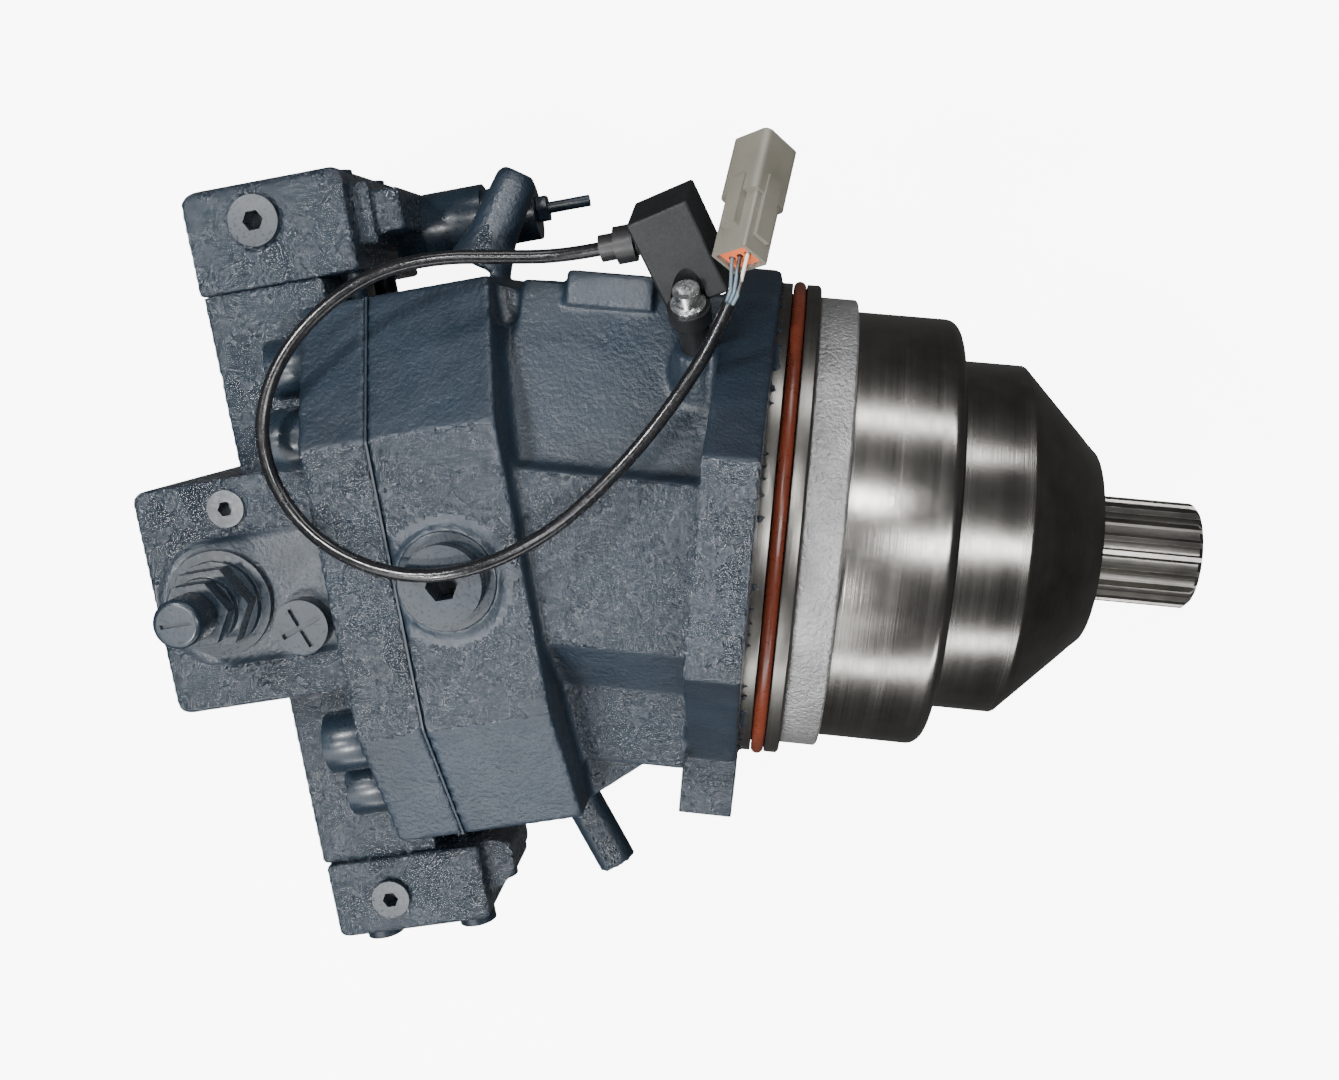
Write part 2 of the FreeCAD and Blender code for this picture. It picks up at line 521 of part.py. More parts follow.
def control_block():
    block = box(BLOCK_BACK, BAR_BACK, BLOCK_BOTTOM, BLOCK_TOP, BLOCK_UNDER, BLOCK_FACE)
    roof = box(BAR_BACK - 1, PLATE_BACK - 1, BLOCK_BOTTOM, BLOCK_TOP, 60, BLOCK_FACE)
    block = joined([block, roof])
    corners = [e for e in block.Edges if abs(e.CenterOfMass.x - BLOCK_BACK) < 1 and e.Length > 100]
    block = block.makeFillet(5, corners)
    round_end = rod(RECESS_HALF, (VALVE_U, VALVE_V, BLOCK_FACE - 2), (VALVE_U, VALVE_V, BLOCK_FACE + 1))
    low, high = VALVE_V - RECESS_HALF, VALVE_V + RECESS_HALF
    recess = box(VALVE_U, PLATE_BACK, low, high, BLOCK_FACE - 2, BLOCK_FACE + 1)
    block = block.cut(round_end).cut(recess)
    block = block.cut(rod(SPOOL_R + RUN_FIT, (VALVE_U, VALVE_V, BLOCK_UNDER - 1), (VALVE_U, VALVE_V, BLOCK_FACE + 1)))
    block = block.cut(rod(VALVE_BORE_R, (VALVE_U, VALVE_V, 24), (VALVE_U, VALVE_V, BLOCK_FACE + 1)))
    block = block.cut(rod(CROSS_PLUG_R - 2, (*CROSS_PLUG, 61), (*CROSS_PLUG, BLOCK_FACE + 1)))
    block = block.cut(rod(SMALL_PLUG_R, (*SMALL_PLUG, 52), (*SMALL_PLUG, BLOCK_FACE + 1)))
    for v, z in PLATE_SCREWS:
        block = block.cut(rod(M16_HEAD_R + 1.5, (BLOCK_BACK, v, z), (0, v, z)))
    for v, z in BLOCK_SCREWS:
        block = block.cut(rod(CAP_SCREW_R + 0.5, (BLOCK_BACK - 1, v, z), (BAR_BACK + 1, v, z)))
        block = block.cut(rod(CAP_SCREW_HEAD_R + 0.5, (BLOCK_BACK - 1, v, z), (BLOCK_BACK + 8, v, z)))
    return tilted(block.removeSplitter())


def block_screws():
    grip = BAR_BACK - BLOCK_BACK - 8 + 11
    screws = [socket_screw(CAP_SCREW_HEAD_R, 8, CAP_SCREW_R - SEAT_FIT, grip, (BLOCK_BACK + 8, v, z), (-1, 0, 0))
              for v, z in BLOCK_SCREWS]
    return Part.makeCompound([tilted(s) for s in screws])


def valve_rod(radius, z0, z1):
    return rod(radius, (VALVE_U, VALVE_V, z0), (VALVE_U, VALVE_V, z1))


def valve_body():
    face = BLOCK_FACE - 2
    spanner = hexagon(30, (VALVE_U, VALVE_V, face + 6), (VALVE_U, VALVE_V, face + 16))
    body = joined([valve_rod(21.5, face, face + 3.4), valve_rod(17.5, face + 3, face + 7), spanner,
                   valve_rod(13, face + 16, face + 20), valve_rod(VALVE_BORE_R - SEAT_FIT, face - 16, face + 1)])
    body = body.cut(valve_rod(8.5, face - 17, face + 12)).cut(valve_rod(5 + RUN_FIT, face + 11, face + 21))
    return tilted(body)


def lock_nut():
    start = BLOCK_FACE + 18
    nut = hexagon(24, (VALVE_U, VALVE_V, start), (VALVE_U, VALVE_V, start + 8))
    return tilted(nut.cut(valve_rod(5 + RUN_FIT, start - 1, start + 9)))


def setting_screw():
    knob = valve_rod(SCREW_KNOB_R, BLOCK_FACE + 26.3, SCREW_TOP)
    knob = knob.makeFillet(2, [e for e in knob.Edges if abs(e.CenterOfMass.z - SCREW_TOP) < 0.1])
    slot = box(VALVE_U - 6, VALVE_U + 6, VALVE_V - 0.8, VALVE_V + 0.8, SCREW_TOP - 1.5, SCREW_TOP + 1)
    return tilted(knob.fuse(valve_rod(5, BLOCK_FACE - 2.2, BLOCK_FACE + 27)).cut(slot).removeSplitter())


def spring_seat():
    seat = valve_rod(7.8, BLOCK_FACE - 8, BLOCK_FACE - 4).fuse(valve_rod(3.2, BLOCK_FACE - 16, BLOCK_FACE - 8))
    return tilted(seat.removeSplitter())


def coil(radius, wire, z0, z1, turns):
    """Closed coil spring along z, centred on the z axis."""
    pitch = (z1 - z0 - 2 * wire) / turns
    helix = Part.makeHelix(pitch, pitch * turns, radius)
    ring = Part.Wire(Part.makeCircle(wire, V(radius, 0, 0), V(0, 1, 0)))
    spring = Part.Wire(helix.Edges).makePipeShell([ring], True, True)
    spring.translate(V(0, 0, z0 + wire))
    return spring


def control_spring():
    spring = coil(5.6, 1.1, 26.5, BLOCK_FACE - 8.1, 6)
    spring.translate(V(VALVE_U, VALVE_V, 0))
    return tilted(spring)


def control_spool():
    spool = joined([valve_rod(SPOOL_R, -40, -14), valve_rod(4.5, -15, 0), valve_rod(SPOOL_R, -1, 24),
                    valve_rod(7.8, 24.3, 26.3).fuse(valve_rod(3.4, 23, 34))])
    return tilted(spool)


def spool_plug():
    return tilted(valve_rod(SPOOL_R - SEAT_FIT, BLOCK_UNDER + 1, BLOCK_UNDER + 12))


def cross_plug():
    plug = rod(CROSS_PLUG_R, (*CROSS_PLUG, BLOCK_FACE - 2), (*CROSS_PLUG, BLOCK_FACE + 6))
    plug = plug.fuse(rod(CROSS_PLUG_R - 2 - SEAT_FIT, (*CROSS_PLUG, 61.5), (*CROSS_PLUG, BLOCK_FACE - 2)))
    for turn in (0, 90):
        bar = box(-8.5, 8.5, -1.1, 1.1, BLOCK_FACE + 4, BLOCK_FACE + 7)
        bar.rotate(V(0, 0, 0), V(0, 0, 1), turn + 20)
        bar.translate(V(*CROSS_PLUG, 0))
        plug = plug.cut(bar)
    return tilted(plug.removeSplitter())


def turned_ring(x0, x1, inner, outer):
    return rod(outer, (x0, 0, 0), (x1, 0, 0)).cut(rod(inner, (x0 - 1, 0, 0), (x1 + 1, 0, 0)))


def bearing(x0, width, seat_r, outer_r, narrow_end):
    """Tapered roller bearing. narrow_end is -1 or +1: the way its cones narrow along X."""
    gap = 0.06
    mid = (seat_r + outer_r) / 2
    lean = math.tan(math.radians(CONE_ANGLE))
    roller_r = (outer_r - seat_r) * 0.17
    x_mid = x0 + width / 2
    half = width * 0.36
    raise_in = half * lean

    def track(offset):
        """Radius of the roller axis cone at an end, shifted by offset."""
        wide = (x_mid - half * narrow_end, mid + raise_in + offset)
        return wide, (x_mid + half * narrow_end, mid - raise_in + offset)

    lift = roller_r / math.cos(math.radians(CONE_ANGLE)) + gap
    (xa, ra), (xb, rb) = track(-lift)
    ends = (x0, x0 + width) if narrow_end > 0 else (x0 + width, x0)
    slope = (rb - ra) / (xb - xa)
    inner = turned([(ends[0], seat_r), (ends[0], ra + slope * (ends[0] - xa)), (ends[1], rb + slope * (ends[1] - xb)),
                    (ends[1], seat_r)])
    (xa, ra), (xb, rb) = track(lift)
    outer = turned([(ends[0], outer_r), (ends[0], ra + slope * (ends[0] - xa)),
                    (ends[1], rb + slope * (ends[1] - xb)), (ends[1], outer_r)])
    rollers = []
    count = int(2 * math.pi * mid / (2.5 * roller_r))
    for y, z in around(count, 1.0):
        start = V(x_mid - half * narrow_end, (mid + raise_in) * y, (mid + raise_in) * z)
        end = V(x_mid + half * narrow_end, (mid - raise_in) * y, (mid - raise_in) * z)
        rollers.append(rod(roller_r, start, end))
    hoop_x = x_mid + (half + 1.2) * narrow_end
    hoop_r = mid - raise_in
    hoop = turned_ring(min(hoop_x, hoop_x - 2 * narrow_end), max(hoop_x, hoop_x - 2 * narrow_end),
                       hoop_r - roller_r * 0.45, hoop_r + roller_r * 0.45)
    cage = joined([hoop] + rollers)
    return inner, cage, outer


def drive_shaft():
    """Shaft, drive flange and spline in one forging."""
    rear_end = REAR_BEARING_X + REAR_BEARING_W
    core = turned([
        (SWIVEL_X + 4, 0), (SWIVEL_X + 4, DRIVE_FLANGE_R - 2), (SWIVEL_X + 6, DRIVE_FLANGE_R), (6, DRIVE_FLANGE_R),
        (REAR_BEARING_X, REAR_SEAT_R + 8), (REAR_BEARING_X, REAR_SEAT_R), (rear_end, REAR_SEAT_R),
        (rear_end + 8, FRONT_SEAT_R + 4), (FRONT_BEARING_X - 2, FRONT_SEAT_R + 4), (FRONT_BEARING_X - 2, FRONT_SEAT_R),
        (FRONT_BEARING_X + FRONT_BEARING_W, FRONT_SEAT_R), (FRONT_BEARING_X + FRONT_BEARING_W, SEAL_R + 2),
        (FACE_X - 22, SEAL_R + 2), (FACE_X - 21, SEAL_R), (SPLINE_START - 1, SEAL_R), (SPLINE_START, SPLINE_R),
        (SHAFT_END - 2, SPLINE_R), (SHAFT_END, SPLINE_R - 2), (SHAFT_END, 0),
    ])
    half = math.pi / SPLINE_TEETH
    gaps = []
    for k in range(SPLINE_TEETH):
        a = 2 * half * k
        outline = []
        for r, spread in ((SPLINE_R + 1, 0.62), (SPLINE_ROOT_R, 0.30)):
            outline.append((r, a - half * spread))
        for r, spread in ((SPLINE_ROOT_R, 0.30), (SPLINE_R + 1, 0.62)):
            outline.append((r, a + half * spread))
        points = [(SPLINE_START, r * math.cos(t), r * math.sin(t)) for r, t in outline]
        gaps.append(prism(points, (SHAFT_END - SPLINE_START + 1, 0, 0)))
    core = core.cut(Part.makeCompound(gaps))
    for y, z in around(PISTON_COUNT, PITCH_R):
        core = core.cut(ball(BALL_R + RUN_FIT, SWIVEL_X, y, z))
    core = core.cut(ball(CENTRE_PIN_R + RUN_FIT, SWIVEL_X, 0, 0))
    for y, z in around(PISTON_COUNT, 29, math.pi / PISTON_COUNT):
        core = core.cut(rod(2.5, (SWIVEL_X + 3, y, z), (SWIVEL_X + 18, y, z)))
    centre_hole = rod(4, (SHAFT_END - 12, 0, 0), (SHAFT_END + 1, 0, 0))
    return core.cut(centre_hole)


def retaining_plate():
    """Plate on the drive flange that keeps the piston balls and the centre pin in their cups."""
    plate = rod(DRIVE_FLANGE_R - 1, (SWIVEL_X - 3, 0, 0), (SWIVEL_X + 4, 0, 0))
    for y, z in around(PISTON_COUNT, PITCH_R):
        plate = plate.cut(ball(BALL_R + RUN_FIT, SWIVEL_X, y, z))
    plate = plate.cut(ball(CENTRE_PIN_R + RUN_FIT, SWIVEL_X, 0, 0))
    for y, z in around(PISTON_COUNT, 29, math.pi / PISTON_COUNT):
        plate = plate.cut(rod(3, (SWIVEL_X - 4, y, z), (SWIVEL_X + 5, y, z)))
    return plate


def retaining_screws():
    out = (-1, 0, 0)
    return Part.makeCompound([socket_screw(4, 4, 2.5 - SEAT_FIT, 18, (SWIVEL_X - 3, y, z), out)
                              for y, z in around(PISTON_COUNT, 29, math.pi / PISTON_COUNT)])


def piston(y, z):
    """Ball-ended piston with a slim neck and two ring grooves on its head."""
    tip = SWIVEL_X - PISTON_L
    body = joined([ball(BALL_R, SWIVEL_X, y, z), cone(7.5, 10, (SWIVEL_X - 6, y, z), (tip + 16, y, z)),
                   rod(PISTON_R, (tip + 16, y, z), (tip, y, z))])
    for x in (tip + 4, tip + 9):
        ring = rod(PISTON_R + 1, (x, y, z), (x + 2, y, z)).cut(rod(PISTON_R - 0.8, (x, y, z), (x + 2, y, z)))
        body = body.cut(ring)
    return body


def centre_pin():
    return joined([ball(CENTRE_PIN_R, SWIVEL_X, 0, 0), rod(6, (SWIVEL_X - 5, 0, 0), (SWIVEL_X - 40, 0, 0)),
                   rod(CENTRE_PIN_R, (SWIVEL_X - 28, 0, 0), (SWIVEL_X - 46, 0, 0))])


def cylinder_barrel():
    near = SWIVEL_X - BARREL_NEAR
    far = SWIVEL_X - BARREL_FAR
    barrel = rod(BARREL_R, (near, 0, 0), (far, 0, 0))
    barrel = barrel.makeChamfer(3, [e for e in barrel.Edges if abs(e.Length - 2 * math.pi * BARREL_R) < 1])
    for y, z in around(PISTON_COUNT, PITCH_R):
        barrel = barrel.cut(rod(PISTON_R + RUN_FIT, (near + 1, y, z), (far + 10, y, z)))
        barrel = barrel.cut(rod(8, (far - 1, y, z), (far + 11, y, z)))
    barrel = barrel.cut(rod(CENTRE_PIN_R + RUN_FIT, (near + 1, 0, 0), (far + 12, 0, 0)))
    return barrel


def centre_spring():
    spring = coil(6.2, 1.2, 46.1, BARREL_FAR - 12.1, 6)
    spring.rotate(V(0, 0, 0), V(0, 1, 0), -90)
    spring.translate(S)
    return spring


def control_lens():
    """Block between barrel and track: flat and ported to the barrel, round to the track."""
    far = SWIVEL_X - BARREL_FAR - 0.05
    slab = box(SWIVEL_X - SLIDE_R - 2, far, -LENS_HALF - 6, LENS_HALF + 22, -38, 38)
    lens = slab.common(Part.makeCylinder(SLIDE_R, 76, S + V(0, 0, -38)))
    for side in (1, -1):
        for k in range(3):
            a = math.radians(90 - 90 * side + (k - 1) * 40)
            spot = (SWIVEL_X, PITCH_R * math.sin(a), PITCH_R * math.cos(a) * 0.7)
            lens = lens.cut(rod(5, (far + 1, spot[1], spot[2]), (far - 12, spot[1], spot[2])))
    return lens.cut(swivel_pin_shape(RUN_FIT))


def swivel_pin_shape(extra=0.0):
    """Pin that ties the lens to the stroking piston, in the unit's axes."""
    return tilted(rod(8 + extra, (STROKE_U - 8, PIN_V, 0), (SEAM + 1, PIN_V, 0)))


def stroking_piston():
    piston_rod = rod(STROKE_R, (STROKE_U, PIN_V - 44, 0), (STROKE_U, PIN_V + 44, 0))
    return tilted(piston_rod).cut(swivel_pin_shape(RUN_FIT))


def shaft_seal():
    return turned_ring(FACE_X - 16, FACE_X - 7, SEAL_R + RUN_FIT, 40)


def seal_clip():
    return turned_ring(FACE_X - 6.8, FACE_X - 4.4, 35, 40)


def spacer_nut():
    start = FRONT_BEARING_X + FRONT_BEARING_W
    return turned_ring(start, start + 10, SEAL_R + 2 + RUN_FIT, 40)


def drain_plug():
    face = SHELL_HALF + 2.6
    return tilted(socket_plug(DRAIN_PLUG_R, 7.4, 11 - SEAT_FIT, 14, (DRAIN_U, DRAIN_V, face), (0, 0, 1)))


def drain_washer():
    low = SHELL_HALF + 1
    ring = rod(DRAIN_PLUG_R + 4, (DRAIN_U, DRAIN_V, low), (DRAIN_U, DRAIN_V, low + 1.6))
    return tilted(ring.cut(rod(11, (DRAIN_U, DRAIN_V, low - 1), (DRAIN_U, DRAIN_V, low + 3))))


def pilot_ring():
    centre_r = PILOT_R - ORING_GROOVE_D + ORING_CORD / 2
    ring = Part.makeTorus(centre_r, ORING_CORD / 2, V(ORING_X, 0, 0), V(1, 0, 0))
    return ring


def oriented_box(centre, long_half, wide_half, deep_half):
    corner = centre - LONG * long_half - WIDE * wide_half - DEEP * deep_half
    base = [corner, corner + WIDE * 2 * wide_half, corner + WIDE * 2 * wide_half + LONG * 2 * long_half,
            corner + LONG * 2 * long_half]
    face = Part.Face(Part.makePolygon(base + [base[0]]))
    return face.extrude(DEEP * 2 * deep_half)


def speed_sensor():
    """Moulded block with a screw foot on a spacer, and a probe that reaches into the housing."""
    block = oriented_box(SENSOR_AT, *SENSOR_HALVES)
    block = block.makeFillet(1.2, block.Edges)
    foot = rod(8, SENSOR_SEAT - SENSOR_OUT * 6, SENSOR_SEAT)
    spacer = rod(SPACER_R, SENSOR_SEAT - SENSOR_OUT * SPACER_L, SENSOR_SEAT)
    probe = rod(PROBE_R, PROBE_FOOT + SENSOR_OUT * 4, PROBE_FOOT - SENSOR_OUT * PROBE_L)
    body = joined([block, foot, spacer, probe])
    body = body.cut(rod(7.4, SENSOR_SEAT, SENSOR_SEAT + SENSOR_OUT * 22))
    return body.cut(rod(SENSOR_SCREW_R + 0.1, SENSOR_SEAT - SENSOR_OUT * (SPACER_L + 1), SENSOR_SEAT + SENSOR_OUT))


def sensor_screw():
    flange = rod(6.6, SENSOR_SEAT, SENSOR_SEAT + SENSOR_OUT * 1.6)
    screw = socket_screw(5, 8, SENSOR_SCREW_R - SEAT_FIT, SPACER_L + 13, SENSOR_SEAT, SENSOR_OUT)
    return screw.fuse(flange).removeSplitter()


def strain_relief():
    """Moulded sleeve and collar in line with the cable's first run."""
    end = V(*CABLE_ROUTE[0])
    way = (end - V(*CABLE_ROUTE[1])).normalize()
    sleeve = joined([rod(5, end, end + way * 26), rod(7, end + way * 6, end + way * 13)])
    return sleeve.cut(oriented_box(SENSOR_AT, *SENSOR_HALVES)).Solids[0]


def cord(points, radius):
    """Round tube of straight runs joined by tangent arcs."""
    spots = [V(*p) for p in points]
    edges = []
    radii = []
    last = spots[0]
    for before, here, after in zip(spots, spots[1:], spots[2:]):
        way_in = (here - before).normalize()
        way_out = (after - here).normalize()
        turn = way_in.getAngle(way_out)
        bend = 0.45 * min((here - before).Length, (after - here).Length) / math.tan(turn / 2)
        trim = bend * math.tan(turn / 2)
        start = here - way_in * trim
        end = here + way_out * trim
        centre = here + (way_out - way_in).normalize() * (bend / math.cos(turn / 2))
        middle = centre + (here - centre).normalize() * bend
        edges.append(Part.LineSegment(last, start).toShape())
        edges.append(Part.Arc(start, middle, end).toShape())
        radii.append(round(bend))
        last = end
    edges.append(Part.LineSegment(last, spots[-1]).toShape())
    path = Part.Wire(edges)
    way = (spots[1] - spots[0]).normalize()
    ring = Part.Wire(Part.makeCircle(radius, spots[0], way))
    tube = path.makePipeShell([ring], True, False)
    ideal = math.pi * radius ** 2 * path.Length
    print("cord length", round(path.Length), "volume ratio", round(tube.Volume / ideal, 4))
    print("arc radii", radii)
    return tube


def plug_box(near, far, half_side, half_top):
    """A block along the connector's axis, from near to far."""
    start = PLUG_FOOT + PLUG_WAY * near
    signs = ((-1, -1), (1, -1), (1, 1), (-1, 1))
    base = [start + PLUG_SIDE * s * half_side + PLUG_TOP * t * half_top for s, t in signs]
    face = Part.Face(Part.makePolygon(base + [base[0]]))
    return face.extrude(PLUG_WAY * (far - near))


def connector():
    """Shell with a seal pocket, a wider socket, and a latch on two faces."""
    side, top = PLUG_HALVES
    socket = plug_box(23, CONNECTOR_L, *SOCKET_HALVES)
    socket = socket.makeFillet(2.6, [e for e in socket.Edges if abs(e.Length - (CONNECTOR_L - 23)) < 0.01])
    shell = plug_box(0, 25, side, top)
    shell = shell.makeFillet(1.2, [e for e in shell.Edges if abs(e.Length - 25) < 0.01])
    latch = plug_box(9, 29, 3.2, SOCKET_HALVES[1] + 0.9).fuse(plug_box(6, 31, side + 1.6, 3.4))
    body = joined([shell, socket, latch])
    body = body.cut(plug_box(-1, 6, side - PLUG_WALL, top - PLUG_WALL))
    return body.cut(plug_box(CONNECTOR_L - 13, CONNECTOR_L + 1, SOCKET_HALVES[0] - 2, SOCKET_HALVES[1] - 2))


def connector_seal():
    side, top = PLUG_HALVES
    seal = plug_box(1.5, 6, side - PLUG_WALL - SEAT_FIT, top - PLUG_WALL - SEAT_FIT)
    for k in (-1, 0, 1):
        centre = PLUG_FOOT + PLUG_SIDE * WIRE_GAP * k
        seal = seal.cut(rod(1.25, centre, centre + PLUG_WAY * 6))
    return seal


def connector_pins():
    pins = []
    for k in (-1, 0, 1):
        start = PLUG_FOOT + PLUG_WAY * (CONNECTOR_L - 13) + PLUG_SIDE * WIRE_GAP * k
        pins.append(rod(0.8, start, start + PLUG_WAY * 9))
    return Part.makeCompound(pins)


def sensor_wires():
    wires = []
    foot = V(*CABLE_ROUTE[-1])
    way = (foot - V(*CABLE_ROUTE[-2])).normalize()
    sides = way.cross(PLUG_SIDE).normalize()
    across = sides.cross(way).normalize()
    for k in (-1, 0, 1):
        start = foot + across * 1.5 * k
        bend = start + way * 4 + across * 0.4 * k
        mouth = PLUG_FOOT + PLUG_SIDE * WIRE_GAP * k + PLUG_WAY * 1
        end = mouth + PLUG_WAY * 4
        wires.append(joined([rod(0.7, start, bend), Part.makeSphere(0.7, bend), rod(0.7, bend, mouth),
                             Part.makeSphere(0.7, mouth), rod(0.7, mouth, end)]))
    return Part.makeCompound(wires)


def build():
    os.makedirs("parts", exist_ok=True)
    write("main_housing", main_housing())
    write("port_plate", port_plate())
    write("seam_gasket", gasket())
    write("plate_screws", plate_screws())
    write("upper_end_cap", upper_cap())
    write("upper_cap_plug", face_plug(CAP_PLUG_R, 1.2, 3.4, 14, (*CAP_PLUG, BAR_HALF - 0.2)))
    write("lower_end_cap", lower_cap())
    write("lower_cap_plug", face_plug(LOWER_PLUG_R, 1, 3, 12, (*LOWER_PLUG, BAR_HALF + 3)))
    write("cap_screws", cap_screws())
    write("stop_sleeve", stop_sleeve())
    write("stop_screw", stop_screw())
    write("stop_nut", stop_nut())
    write("control_block", control_block())
    write("block_screws", block_screws())
    write("valve_body", valve_body())
    write("lock_nut", lock_nut())
    write("setting_screw", setting_screw())
    write("spring_seat", spring_seat())
    write("control_spring", control_spring())
    write("control_spool", control_spool())
    write("spool_end_plug", spool_plug())
    write("cross_slot_plug", cross_plug())
    write("small_block_plug", face_plug(SMALL_PLUG_R, 2.5, 1.6, 10, (*SMALL_PLUG, BLOCK_FACE)))
    write("drain_plug", drain_plug())
    write("drain_washer", drain_washer())
    write("pilot_o_ring", pilot_ring())
    write("drive_shaft", drive_shaft())
    rear = bearing(REAR_BEARING_X, REAR_BEARING_W, REAR_SEAT_R, REAR_BEARING_R, 1)
    front = bearing(FRONT_BEARING_X, FRONT_BEARING_W, FRONT_SEAT_R, FRONT_BEARING_R, -1)
    for place, pieces in (("rear", rear), ("front", front)):
        for name, piece in zip(("inner_ring", "rollers", "outer_ring"), pieces):
            write(place + "_bearing_" + name, piece)
    write("bearing_nut", spacer_nut())
    write("shaft_seal", shaft_seal())
    write("seal_clip", seal_clip())
    write("retaining_plate", retaining_plate())
    write("retaining_screws", retaining_screws())
    for k, (y, z) in enumerate(around(PISTON_COUNT, PITCH_R)):
        write("piston_" + str(k + 1), piston(y, z))
    write("centre_pin", centre_pin())
    write("centre_spring", centre_spring())
    write("cylinder_barrel", cylinder_barrel())
    write("control_lens", control_lens())
    write("stroking_piston", stroking_piston())
    write("swivel_pin", swivel_pin_shape())
    write("speed_sensor", speed_sensor())
    write("sensor_screw", sensor_screw())
    write("strain_relief", strain_relief())
    write("sensor_cable", cord(CABLE_ROUTE, CABLE_R))
    write("sensor_wires", sensor_wires())
    write("connector_body", connector())
    write("connector_seal", connector_seal())
    write("connector_pins", connector_pins())


build()
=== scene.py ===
import json
import math

import bpy
from mathutils import Euler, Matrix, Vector


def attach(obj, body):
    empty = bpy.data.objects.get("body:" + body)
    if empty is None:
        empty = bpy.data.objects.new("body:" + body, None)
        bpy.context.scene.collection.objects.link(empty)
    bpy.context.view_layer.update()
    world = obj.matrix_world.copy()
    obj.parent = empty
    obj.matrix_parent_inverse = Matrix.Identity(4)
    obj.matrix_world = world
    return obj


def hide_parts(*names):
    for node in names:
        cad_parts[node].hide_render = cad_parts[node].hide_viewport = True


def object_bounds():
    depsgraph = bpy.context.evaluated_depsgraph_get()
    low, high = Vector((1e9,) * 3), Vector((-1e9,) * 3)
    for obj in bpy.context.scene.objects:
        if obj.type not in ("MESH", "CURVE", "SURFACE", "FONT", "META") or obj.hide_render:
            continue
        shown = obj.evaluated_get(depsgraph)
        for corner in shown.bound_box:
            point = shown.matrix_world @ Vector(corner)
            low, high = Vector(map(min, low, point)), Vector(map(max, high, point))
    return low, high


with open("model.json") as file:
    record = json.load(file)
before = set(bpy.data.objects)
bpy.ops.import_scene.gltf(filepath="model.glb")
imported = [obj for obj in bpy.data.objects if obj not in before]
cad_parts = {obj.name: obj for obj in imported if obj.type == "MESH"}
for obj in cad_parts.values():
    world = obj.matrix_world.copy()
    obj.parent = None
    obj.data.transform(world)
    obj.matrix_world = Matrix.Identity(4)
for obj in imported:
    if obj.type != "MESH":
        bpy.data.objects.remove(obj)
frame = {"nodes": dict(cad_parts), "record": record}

CAD_BOX = [list(corner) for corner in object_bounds()]
MM = 0.001

NODES = frame["nodes"]

# ---- places and directions ----
FLOOR_Z = min(corner[2] for corner in CAD_BOX)
TILT = math.radians(14.5)
SWIVEL = Vector((-22 * MM, 0, 0))
ALONG_SHAFT = (0, math.pi / 2, 0)

# ---- fineness ----
ROUND = 160
MOST_TRIANGLES = 190000

# ---- turned sizes of the nose, in mm ----
PILOT_R = 100
PILOT_INSET = 2
PILOT_END = 17
GROOVE_R = 95.7
RAW_R = 95.3
RAW_END = 32.5
NOSE_R = 90.5
NOSE_END = 75.5
NOSE_ROUND = 6
SNOUT_R = 73.9
CUT_LENGTH = 150


# ------------------------------------------------------------------ small tools
def only(obj):
    """Select one object and nothing else."""
    for other in bpy.context.selected_objects:
        other.select_set(False)
    obj.select_set(True)
    bpy.context.view_layer.objects.active = obj


def settle(obj):
    """Apply every modifier and put the object's place into its mesh."""
    only(obj)
    for modifier in list(obj.modifiers):
        bpy.ops.object.modifier_apply(modifier=modifier.name)
    bpy.ops.object.transform_apply(location=True, rotation=True, scale=True)


def paint(obj, material):
    """Give an object one material."""
    obj.data.materials.clear()
    obj.data.materials.append(material)


# ------------------------------------------------------------------ materials
def fresh(name):
    """A new material with its node tree, shader and object coordinates."""
    material = bpy.data.materials.new(name)
    material.use_nodes = True
    nodes = material.node_tree.nodes
    shader = nodes["Principled BSDF"]
    where = nodes.new("ShaderNodeTexCoord")
    return material, nodes, material.node_tree.links, shader, where


def noise(nodes, links, where, scale, detail=3.0, rough=0.55, stretch=None):
    """Noise on object coordinates, stretched along an axis if asked."""
    texture = nodes.new("ShaderNodeTexNoise")
    texture.inputs["Scale"].default_value = scale
    texture.inputs["Detail"].default_value = detail
    texture.inputs["Roughness"].default_value = rough
    if stretch:
        mapping = nodes.new("ShaderNodeMapping")
        mapping.inputs["Scale"].default_value = stretch
        links.new(where.outputs["Object"], mapping.inputs["Vector"])
        links.new(mapping.outputs["Vector"], texture.inputs["Vector"])
    else:
        links.new(where.outputs["Object"], texture.inputs["Vector"])
    return texture.outputs["Fac"]


def ramp(nodes, links, source, stops):
    """Colour ramp with (position, colour) stops."""
    node = nodes.new("ShaderNodeValToRGB")
    elements = node.color_ramp.elements
    elements[0].position, elements[0].color = stops[0][0], (*stops[0][1], 1)
    elements[1].position, elements[1].color = stops[-1][0], (*stops[-1][1], 1)
    for place, colour in stops[1:-1]:
        element = elements.new(place)
        element.color = (*colour, 1)
    links.new(source, node.inputs["Fac"])
    return node.outputs["Color"]


def spread(nodes, links, source, low, high, start=0.3, end=0.7):
    """Map a 0..1 value to low..high between start and end."""
    node = nodes.new("ShaderNodeMapRange")
    node.inputs["From Min"].default_value = start
    node.inputs["From Max"].default_value = end
    node.inputs["To Min"].default_value = low
    node.inputs["To Max"].default_value = high
    links.new(source, node.inputs["Value"])
    return node.outputs["Result"]


